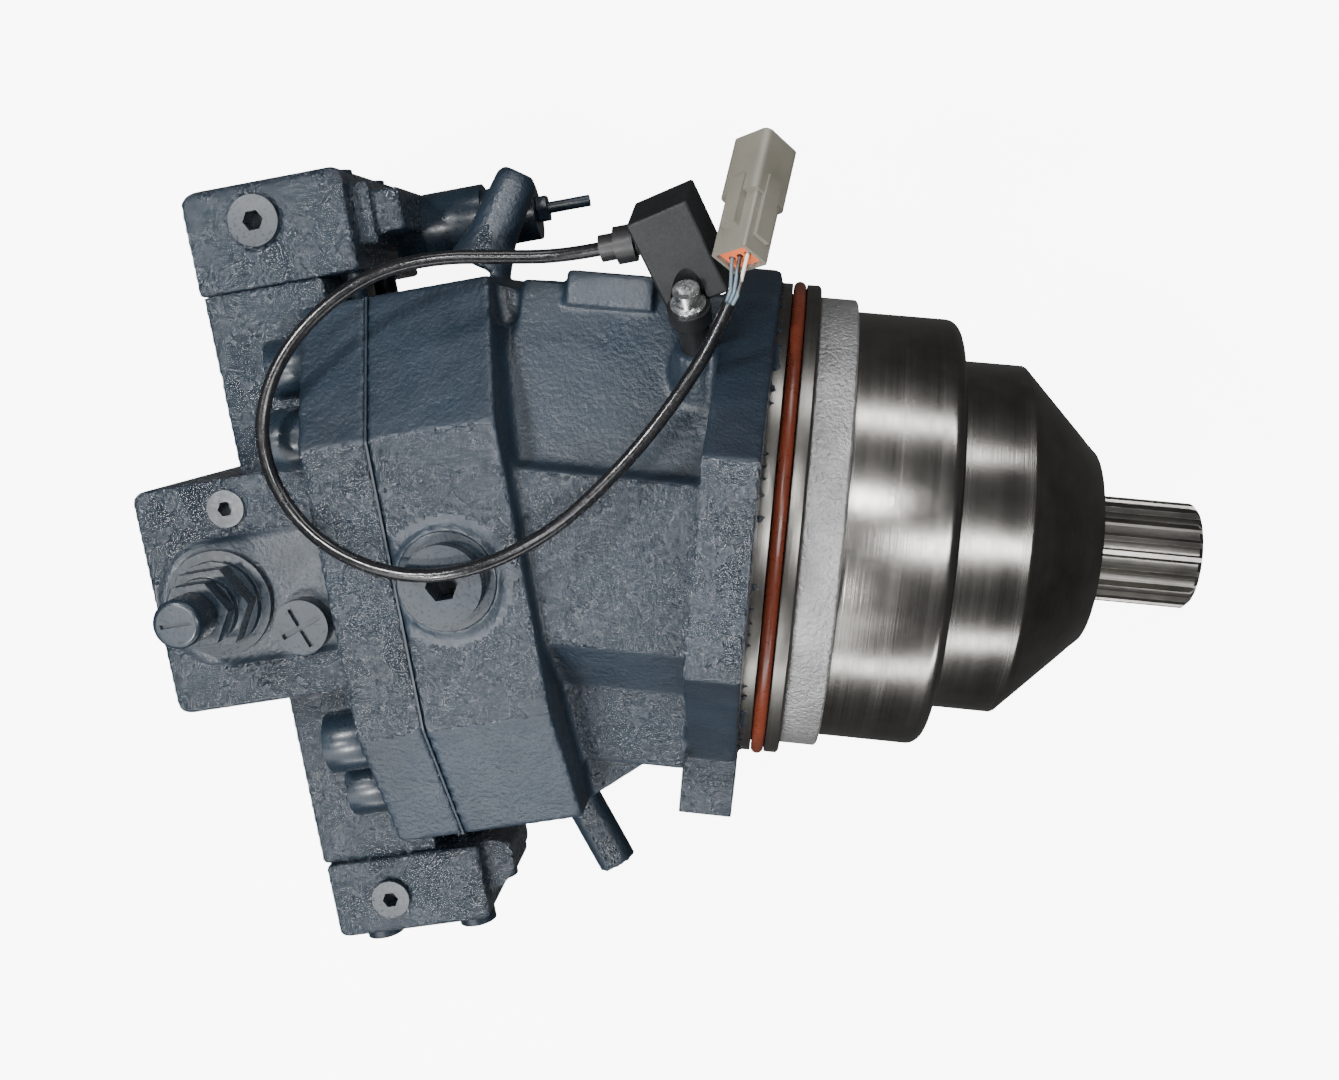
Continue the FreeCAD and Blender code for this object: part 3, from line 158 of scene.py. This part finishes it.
def bump(nodes, links, shader, layers):
    """Stack bump layers of (height, strength, distance) under both the body and the clear coat."""
    last = None
    for height, strength, distance in layers:
        node = nodes.new("ShaderNodeBump")
        node.inputs["Distance"].default_value = distance
        if isinstance(strength, float):
            node.inputs["Strength"].default_value = strength
        else:
            links.new(strength, node.inputs["Strength"])
        links.new(height, node.inputs["Height"])
        if last:
            links.new(last, node.inputs["Normal"])
        last = node.outputs["Normal"]
    links.new(last, shader.inputs["Normal"])
    links.new(last, shader.inputs["Coat Normal"])


def math_node(nodes, links, kind, a, b=None):
    """A sum on two values, each a number or the output of another node."""
    node = nodes.new("ShaderNodeMath")
    node.operation = kind
    for socket, value in ((0, a), (1, b)):
        if isinstance(value, (int, float)):
            node.inputs[socket].default_value = value
        elif value is not None:
            links.new(value, node.inputs[socket])
    return node.outputs[0]


def casting_paint(name, grain_depth, gloss, coat):
    """Semi-gloss dark blue-grey paint over a sand-cast skin, or over the same iron ground smooth."""
    material, nodes, links, shader, where = fresh(name)
    grain = noise(nodes, links, where, 560, 2.5, 0.5)
    pits = noise(nodes, links, where, 1700, 2.0, 0.5)
    waves = noise(nodes, links, where, 90, 3.0, 0.5)
    tone = noise(nodes, links, where, 18, 4.0, 0.6)
    shades = [(0.25, (0.0045, 0.0095, 0.0165)), (0.5, (0.0075, 0.0155, 0.026)), (0.8, (0.0115, 0.022, 0.036))]
    colour = ramp(nodes, links, tone, shades)
    links.new(colour, shader.inputs["Base Color"])
    links.new(spread(nodes, links, waves, gloss, gloss + 0.12), shader.inputs["Roughness"])
    relief = [(waves, 0.5, 0.0014), (grain, grain_depth, 0.0024), (pits, grain_depth, 0.0006)]
    bump(nodes, links, shader, relief)
    shader.inputs["Coat Weight"].default_value = coat
    shader.inputs["Coat Roughness"].default_value = 0.12
    return material


def machined_paint():
    """The same paint on turned pieces, screws and plugs: smooth, with a faint random tone."""
    material, nodes, links, shader, where = fresh("paint on steel")
    tone = noise(nodes, links, where, 90, 4.0, 0.6)
    fine = noise(nodes, links, where, 700, 3.0, 0.5)
    colour = ramp(nodes, links, tone, [(0.3, (0.006, 0.011, 0.017)), (0.7, (0.011, 0.019, 0.029))])
    links.new(colour, shader.inputs["Base Color"])
    links.new(spread(nodes, links, fine, 0.24, 0.38), shader.inputs["Roughness"])
    bump(nodes, links, shader, [(tone, 0.2, 0.0004), (fine, 0.15, 0.00015)])
    shader.inputs["Coat Weight"].default_value = 0.1
    shader.inputs["Coat Roughness"].default_value = 0.2
    shader.inputs["Specular IOR Level"].default_value = 0.35
    return material


def turned_steel(name, base, rough):
    """Bare steel with fine tool marks round the shaft axis and faint stains."""
    material, nodes, links, shader, where = fresh(name)
    rings = noise(nodes, links, where, 1.0, 4.0, 0.65, (1400, 6, 6))
    bands = noise(nodes, links, where, 1.0, 2.0, 0.5, (110, 1, 1))
    stain = noise(nodes, links, where, 22, 5.0, 0.62)
    dark = tuple(0.55 * c for c in base)
    colour = ramp(nodes, links, stain, [(0.3, dark), (0.55, base), (0.8, tuple(1.25 * c for c in base))])
    links.new(colour, shader.inputs["Base Color"])
    shader.inputs["Metallic"].default_value = 1.0
    half_bands = math_node(nodes, links, "MULTIPLY", bands, 0.5)
    half_rings = math_node(nodes, links, "MULTIPLY", rings, 0.5)
    mixed = math_node(nodes, links, "ADD", half_bands, half_rings)
    links.new(spread(nodes, links, mixed, rough - 0.04, rough + 0.08, 0.3, 0.7), shader.inputs["Roughness"])
    bump(nodes, links, shader, [(rings, 0.35, 0.00012)])
    return material


def plain_steel():
    """Ground steel for inner pieces."""
    material, nodes, links, shader, where = fresh("ground steel")
    marks = noise(nodes, links, where, 260, 4.0, 0.6)
    colour = ramp(nodes, links, marks, [(0.3, (0.30, 0.30, 0.29)), (0.7, (0.45, 0.44, 0.42))])
    links.new(colour, shader.inputs["Base Color"])
    shader.inputs["Metallic"].default_value = 1.0
    links.new(spread(nodes, links, marks, 0.25, 0.4), shader.inputs["Roughness"])
    bump(nodes, links, shader, [(marks, 0.15, 0.0001)])
    return material


def rough_iron():
    """Bare cast ring between the pilot and the nose."""
    material, nodes, links, shader, where = fresh("bare cast ring")
    grain = noise(nodes, links, where, 520, 3.0, 0.55)
    tone = noise(nodes, links, where, 40, 4.0, 0.6)
    colour = ramp(nodes, links, tone, [(0.3, (0.24, 0.24, 0.24)), (0.7, (0.42, 0.415, 0.42))])
    links.new(colour, shader.inputs["Base Color"])
    shader.inputs["Metallic"].default_value = 0.85
    links.new(spread(nodes, links, grain, 0.42, 0.6), shader.inputs["Roughness"])
    bump(nodes, links, shader, [(grain, 0.9, 0.0012)])
    return material


def bright_zinc():
    """Zinc plate on the sensor's screw."""
    material, nodes, links, shader, where = fresh("bright zinc")
    marks = noise(nodes, links, where, 400, 3.0, 0.5)
    colour = ramp(nodes, links, marks, [(0.3, (0.62, 0.63, 0.64)), (0.7, (0.8, 0.8, 0.8))])
    links.new(colour, shader.inputs["Base Color"])
    shader.inputs["Metallic"].default_value = 1.0
    links.new(spread(nodes, links, marks, 0.18, 0.32), shader.inputs["Roughness"])
    bump(nodes, links, shader, [(marks, 0.15, 0.0001)])
    return material


def soft_material(name, dark, light, rough, scale=300.0, depth=0.0002, strength=0.3):
    """Rubber or moulded plastic with a fine even texture."""
    material, nodes, links, shader, where = fresh(name)
    grain = noise(nodes, links, where, scale, 4.0, 0.55)
    tone = noise(nodes, links, where, 40, 3.0, 0.5)
    links.new(ramp(nodes, links, tone, [(0.3, dark), (0.7, light)]), shader.inputs["Base Color"])
    links.new(spread(nodes, links, grain, rough - 0.06, rough + 0.08), shader.inputs["Roughness"])
    bump(nodes, links, shader, [(grain, strength, depth)])
    return material


def three_wires():
    """Insulation of the three leads, told apart by where each lies across the flat of the lead bundle."""
    material, nodes, links, shader, where = fresh("lead insulation")
    side = nodes.new("ShaderNodeVectorMath")
    side.operation = "DOT_PRODUCT"
    side.inputs[1].default_value = WIRE_SIDE
    links.new(where.outputs["Object"], side.inputs[0])
    offset = math_node(nodes, links, "SUBTRACT", side.outputs["Value"], PLUG_FOOT.dot(WIRE_SIDE))
    lead = spread(nodes, links, offset, 0.0, 1.0, -0.0024, 0.0024)
    pick = nodes.new("ShaderNodeValToRGB")
    pick.color_ramp.interpolation = "CONSTANT"
    elements = pick.color_ramp.elements
    elements[0].position, elements[0].color = 0.0, (0.10, 0.14, 0.17, 1)
    elements[1].position, elements[1].color = 0.68, (0.62, 0.56, 0.48, 1)
    middle = elements.new(0.32)
    middle.color = (0.025, 0.022, 0.022, 1)
    links.new(lead, pick.inputs["Fac"])
    links.new(pick.outputs["Color"], shader.inputs["Base Color"])
    grain = noise(nodes, links, where, 900, 3.0, 0.5)
    links.new(spread(nodes, links, grain, 0.3, 0.42), shader.inputs["Roughness"])
    bump(nodes, links, shader, [(grain, 0.2, 0.0001)])
    return material


PLUG_FOOT = Vector((-14.5, 104, 110)) * MM
PLUG_WAY = Vector((0.105, 0.86, -0.5)).normalized()
PLUG_ACROSS = PLUG_WAY.cross(Vector((0, 0, 1))).normalized()
WIRE_SIDE = (PLUG_ACROSS + PLUG_ACROSS.cross(PLUG_WAY)).normalized()

CAST = casting_paint("casting paint", 1.0, 0.2, 0.8)
CAST_SMOOTH = casting_paint("casting paint on ground faces", 0.2, 0.42, 0.12)
PAINTED = machined_paint()
STEEL = turned_steel("turned steel", (0.20, 0.193, 0.178), 0.3)
NOSE_STEEL = turned_steel("polished nose", (0.27, 0.26, 0.24), 0.22)
GROUND = plain_steel()
IRON = rough_iron()
ZINC = bright_zinc()
BLACK_RUBBER = soft_material("cable jacket", (0.004, 0.004, 0.005), (0.009, 0.009, 0.010), 0.22, 500)
SLEEVE = soft_material("moulded sleeve", (0.006, 0.006, 0.007), (0.012, 0.012, 0.013), 0.42, 700)
SENSOR_BLACK = soft_material("sensor moulding", (0.006, 0.0065, 0.007), (0.011, 0.012, 0.013), 0.45, 900)
BROWN_RING = soft_material("brown ring rubber", (0.085, 0.017, 0.008), (0.14, 0.028, 0.012), 0.3, 300)
ORANGE_SEAL = soft_material("orange wire seal", (0.62, 0.10, 0.03), (0.75, 0.16, 0.05), 0.45, 400)
GREY_DARK, GREY_LIGHT = (0.125, 0.118, 0.095), (0.165, 0.156, 0.13)
GREY_PLASTIC = soft_material("grey connector moulding", GREY_DARK, GREY_LIGHT, 0.42, 700)
GASKET = casting_paint("paint over the seam", 0.2, 0.5, 0.1)
BRASS = soft_material("contact plating", (0.55, 0.40, 0.16), (0.65, 0.48, 0.2), 0.3, 500)
SENSOR_BLACK.node_tree.nodes["Principled BSDF"].inputs["Specular IOR Level"].default_value = 0.22
BRASS.node_tree.nodes["Principled BSDF"].inputs["Metallic"].default_value = 1.0
LEADS = three_wires()

FINISH = {
    "painted_cast_iron": CAST, "painted_steel": PAINTED, "black_plastic": SENSOR_BLACK,
    "brown_rubber": BROWN_RING, "orange_rubber": ORANGE_SEAL, "black_rubber": BLACK_RUBBER,
    "grey_plastic": GREY_PLASTIC, "wire_insulation": LEADS, "contact_brass": BRASS,
    "bare_steel": GROUND, "spring_steel": GROUND, "zinc_steel": ZINC,
}


# ------------------------------------------------------------------ frame nodes
def finish_nodes():
    """Every carried-over node gets its finish; the painted steel, zinc and bare steel ones also get slightly
    broken edges.
    """
    for part in frame["record"]["subparts"]:
        node = NODES[part["node"]]
        paint(node, FINISH[part["material_slot"]])
        if part["material_slot"] in ("painted_steel", "zinc_steel", "bare_steel"):
            weld = node.modifiers.new("weld", "WELD")
            weld.merge_threshold = 1e-6
            soften = node.modifiers.new("edges", "BEVEL")
            soften.width = 0.5 * MM
            soften.segments = 2
            soften.limit_method = "ANGLE"
            soften.angle_limit = math.radians(40)
            soften.harden_normals = False
    paint(NODES["drive_shaft"], STEEL)
    paint(NODES["strain_relief"], SLEEVE)
    paint(NODES["seam_gasket"], GASKET)


# ------------------------------------------------------------------ castings
def tilt_back(point):
    """From the unit's axes to the tilted rear end's own axes, in mm."""
    across = (point - SWIVEL) / MM
    u = across.x * math.cos(TILT) + across.y * math.sin(TILT)
    v = -across.x * math.sin(TILT) + across.y * math.cos(TILT)
    return u, v, across.z


def ground_on_housing(centre, normal):
    """Bevels of the rear end, the drain boss, the neck's upper flank and step, the flange's upper edge."""
    x, y, z = centre / MM
    u, v, _ = tilt_back(centre)
    if math.hypot(u + 93, v - 2) < 25 and z > 50:
        return True
    if u < -66:
        return 0.3 < abs(normal.z) < 0.93
    if x < -21:
        return y > 25 or abs(normal.z) < 0.88
    return y > 45 or 0.3 < normal.z < 0.9


def ground_on_plate(centre, normal):
    """Bevels of the port plate, in front of its screw heads."""
    u, _, _ = tilt_back(centre)
    return u > -142 and 0.3 < abs(normal.z) < 0.93


def ground_on_block(centre, normal):
    """The recess round the valve."""
    u, v, z = tilt_back(centre)
    return abs(v - 3) < 27 and u > -226 and 55 < z < 67.6


def nowhere(centre, normal):
    """A casting with no ground faces."""
    return False


def even_out(body, chosen, rounds=5):
    """Straighten the border between chosen and other faces by averaging over neighbours."""
    share = [float(value) for value in chosen]
    faces = [tuple(face.vertices) for face in body.data.polygons]
    for _ in range(rounds):
        total = [0.0] * len(body.data.vertices)
        count = [0] * len(total)
        for corners, value in zip(faces, share):
            for corner in corners:
                total[corner] += value
                count[corner] += 1
        share = [sum(total[c] / count[c] for c in corners) / len(corners) for corners in faces]
    return [int(value > 0.5) for value in share]


def cast_skin(name, node, voxel, rounds, ground=nowhere, trim=None):
    """A cast body: the node's solid with its edges rounded the way a sand mould leaves them."""
    source = NODES[node]
    body = bpy.data.objects.new(name, source.data.copy())
    bpy.context.collection.objects.link(body)
    only(body)
    bpy.ops.object.mode_set(mode="EDIT")
    bpy.ops.mesh.select_all(action="SELECT")
    bpy.ops.mesh.remove_doubles(threshold=1e-6)
    bpy.ops.object.mode_set(mode="OBJECT")
    if trim:
        cut = body.modifiers.new("trim", "BOOLEAN")
        cut.operation = "DIFFERENCE"
        cut.object = trim
        cut.solver = "EXACT"
    skin = body.modifiers.new("skin", "REMESH")
    skin.mode = "VOXEL"
    skin.voxel_size = voxel
    soft = body.modifiers.new("soft", "SMOOTH")
    soft.factor = 0.5
    soft.iterations = rounds
    settle(body)
    if trim:
        bpy.data.objects.remove(trim)
    thin = body.modifiers.new("thin", "DECIMATE")
    thin.ratio = min(1.0, MOST_TRIANGLES / (2.0 * len(body.data.polygons)))
    settle(body)
    only(body)
    bpy.ops.object.shade_smooth()
    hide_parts(node)
    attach(body, "housing")
    paint(body, CAST)
    body.data.materials.append(CAST_SMOOTH)
    chosen = even_out(body, [ground(face.center, face.normal) for face in body.data.polygons])
    body.data.polygons.foreach_set("material_index", chosen)
    return body


def nose_cutter():
    """Cuts away what is in front of the flange, which is machined and made on its own."""
    start = -PILOT_INSET * MM
    centre = start + CUT_LENGTH * MM / 2
    bpy.ops.mesh.primitive_cylinder_add(radius=(PILOT_R - 0.4) * MM, depth=CUT_LENGTH * MM, vertices=ROUND,
                                        location=(centre, 0, 0), rotation=ALONG_SHAFT)
    return bpy.context.object


def turned_ring(name, profile, material):
    """A closed (x, radius) profile in mm as a turned piece: a circle drawn out ring by ring."""
    x, r = profile[0]
    bpy.ops.mesh.primitive_circle_add(vertices=ROUND, radius=r * MM, location=(x * MM, 0, 0),
                                      rotation=ALONG_SHAFT)
    ring = bpy.context.object
    ring.name = name
    only(ring)
    bpy.ops.object.transform_apply(location=True, rotation=True, scale=True)
    bpy.ops.object.mode_set(mode="EDIT")
    bpy.ops.mesh.select_all(action="SELECT")
    for next_x, next_r in profile[1:] + profile[:1]:
        bpy.ops.mesh.extrude_region_move(TRANSFORM_OT_translate={"value": ((next_x - x) * MM, 0, 0)})
        if next_r != r:
            grow = next_r / r
            bpy.ops.transform.resize(value=(1, grow, grow), center_override=(next_x * MM, 0, 0))
        x, r = next_x, next_r
    bpy.ops.mesh.select_all(action="SELECT")
    bpy.ops.mesh.remove_doubles(threshold=1e-6)
    bpy.ops.mesh.normals_make_consistent(inside=False)
    bpy.ops.object.mode_set(mode="OBJECT")
    bevel = ring.modifiers.new("edges", "BEVEL")
    bevel.width = 0.6 * MM
    bevel.segments = 2
    bevel.limit_method = "ANGLE"
    bevel.angle_limit = math.radians(25)
    settle(ring)
    only(ring)
    bpy.ops.object.shade_smooth_by_angle(angle=math.radians(28))
    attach(ring, "housing")
    paint(ring, material)
    return ring


def pilot_profile():
    """Two lands with the ring groove between them, from just inside the flange."""
    back = [(-PILOT_INSET, 88), (-PILOT_INSET, PILOT_R)]
    groove = [(4.9, PILOT_R), (5.2, PILOT_R - 0.3), (5.2, GROOVE_R), (11, GROOVE_R), (11, PILOT_R - 0.3)]
    front = [(11.3, PILOT_R), (16, PILOT_R), (PILOT_END, PILOT_R - 1), (PILOT_END, 88)]
    return back + groove + front


def build_nose():
    """Machined pilot, raw cast ring, polished nose and snout, each with its own finish."""
    pilot = turned_ring("pilot_lands", pilot_profile(), STEEL)
    raw_outline = [(PILOT_END, 84), (PILOT_END, RAW_R - 0.4), (PILOT_END + 0.5, RAW_R)]
    raw_outline += [(RAW_END - 0.9, RAW_R), (RAW_END, RAW_R - 0.9), (RAW_END, 84)]
    raw = turned_ring("raw_ring", raw_outline, IRON)
    round_x, round_r = NOSE_END - NOSE_ROUND, NOSE_R - NOSE_ROUND
    steps = [0.05 * k * math.pi for k in range(11)]
    corner = [(round_x + NOSE_ROUND * math.sin(a), round_r + NOSE_ROUND * math.cos(a)) for a in steps]
    outer = [(RAW_END, 80), (RAW_END, NOSE_R - 0.3), (RAW_END + 0.3, NOSE_R)] + corner
    outer += [(NOSE_END, 74.6), (NOSE_END + 0.4, SNOUT_R), (103.4, SNOUT_R), (104.4, SNOUT_R - 0.4)]
    outer += [(131.6, 46.4), (132.4, 45.4), (137.4, 40.7), (138, 39.6), (138, 34)]
    inner = [(133, 34), (133, 38), (103, 68), (70, 68), (70, 80)]
    nose = turned_ring("machined_nose", outer + inner, NOSE_STEEL)
    for piece in (pilot, raw, nose):
        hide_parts("main_housing")


# ------------------------------------------------------------------ cable
CABLE_ROUTE = [
    (-67, 105, 80), (-82, 101, 79), (-103, 99, 83), (-126, 97, 88), (-148, 90, 92),
    (-168, 74, 95), (-181.5, 54, 98), (-186.5, 32.5, 100), (-182, 14, 102), (-172, 0, 104.5),
    (-158, -10.5, 108), (-139, -17, 112.5), (-119, -18, 115.5), (-101, -13.5, 115.5), (-85, -5.5, 112.5),
    (-69.5, 6, 108), (-54.5, 22.5, 104.5), (-42, 39, 103.5), (-30.5, 57.5, 104), (-21.5, 75, 106.5),
    (-16.5, 89, 110),
]
CABLE_DIAMETER = 5.2 * MM


def smooth_line(name, route, radius, material):
    """A round flexible piece along a smooth line guided by its route."""
    data = bpy.data.curves.new(name, "CURVE")
    data.dimensions = "3D"
    line = data.splines.new("NURBS")
    line.points.add(len(route) - 1)
    for point, place in zip(line.points, route):
        point.co = (*[c * MM for c in place], 1)
    line.order_u = 3
    line.use_endpoint_u = True
    line.resolution_u = 12
    data.bevel_depth = radius
    data.bevel_resolution = 6
    data.use_fill_caps = True
    obj = bpy.data.objects.new(name, data)
    bpy.context.collection.objects.link(obj)
    data.materials.append(material)
    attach(obj, "housing")
    return obj


def build_cable():
    """The sensor's lead, in one loop from the strain relief to the three wires."""
    cable = smooth_line("cable", CABLE_ROUTE, CABLE_DIAMETER / 2, BLACK_RUBBER)
    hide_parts("sensor_cable")


# ------------------------------------------------------------------ stage
def build_stage():
    """A plain pale floor and a dim even surround."""
    bpy.ops.mesh.primitive_plane_add(size=6, location=(0, 0, FLOOR_Z - 0.0005))
    floor = bpy.context.object
    floor.name = "floor"
    material, _, _, shader, _ = fresh("pale floor")
    shader.inputs["Base Color"].default_value = (0.93, 0.93, 0.93, 1)
    shader.inputs["Roughness"].default_value = 0.9
    shader.inputs["Emission Color"].default_value = (1, 1, 1, 1)
    shader.inputs["Emission Strength"].default_value = 7.0
    paint(floor, material)
    floor.visible_glossy = False
    floor.visible_diffuse = False
    world = bpy.data.worlds.new("studio")
    bpy.context.scene.world = world
    world.use_nodes = True
    world.node_tree.nodes["Background"].inputs["Color"].default_value = (1, 1, 1, 1)
    world.node_tree.nodes["Background"].inputs["Strength"].default_value = 0.08


def softbox(name, place, target, size, power):
    """A rectangular lamp turned to face its target."""
    data = bpy.data.lights.new(name, "AREA")
    data.shape = "RECTANGLE"
    data.size, data.size_y = size
    data.energy = power
    lamp = bpy.data.objects.new(name, data)
    lamp.location = place
    lamp.rotation_euler = (Vector(target) - Vector(place)).to_track_quat("-Z", "Y").to_euler()
    bpy.context.collection.objects.link(lamp)


SMALL_LAMPS = [(-0.45, 0.25, 0.65, 4.5), (-0.25, -0.35, 0.75, 4.5), (-0.45, -0.1, 0.85, 3.0),
               (-0.05, 0.3, 0.8, 2.2)]


def build_lights():
    """A soft key low on the left, two strips, four small lamps for sparkle and a rim light."""
    centre = (-0.05, 0, 0.02)
    softbox("key from lower left", (-0.4, -0.65, 0.65), centre, (0.8, 0.55), 5)
    softbox("long strip below", (0.15, -0.75, 0.35), centre, (0.9, 0.12), 4)
    for x, y, z, power in SMALL_LAMPS:
        softbox("small lamp", (x, y, z), centre, (0.08, 0.08), power)
    softbox("overhead strip", (0.35, 0.02, 0.9), centre, (0.14, 0.6), 6)
    softbox("rim from above", (0.1, 0.85, 0.45), centre, (0.8, 0.1), 4)


def build_camera():
    """The view from above, looking down on the unit lying on its side."""
    data = bpy.data.cameras.new("camera")
    data.lens = 39.1
    data.sensor_width = 36
    data.clip_start = 0.01
    camera = bpy.data.objects.new("camera", data)
    camera.location = (0.00459, 0.08539, 0.62473)
    camera.rotation_euler = Euler((math.radians(-8.6665), math.radians(4.6399), math.radians(4.7415)))
    bpy.context.collection.objects.link(camera)
    bpy.context.scene.camera = camera


build_camera()
build_cable()
finish_nodes()
cast_skin("housing_casting", "main_housing", 1.5 * MM, 3, ground_on_housing, nose_cutter())
build_nose()
cast_skin("port_plate_casting", "port_plate", 1.5 * MM, 3, ground_on_plate)
cast_skin("upper_cap_casting", "upper_end_cap", 1.2 * MM, 4)
cast_skin("lower_cap_casting", "lower_end_cap", 1.2 * MM, 4)
cast_skin("control_block_casting", "control_block", 1.2 * MM, 4, ground_on_block)
build_lights()
build_stage()
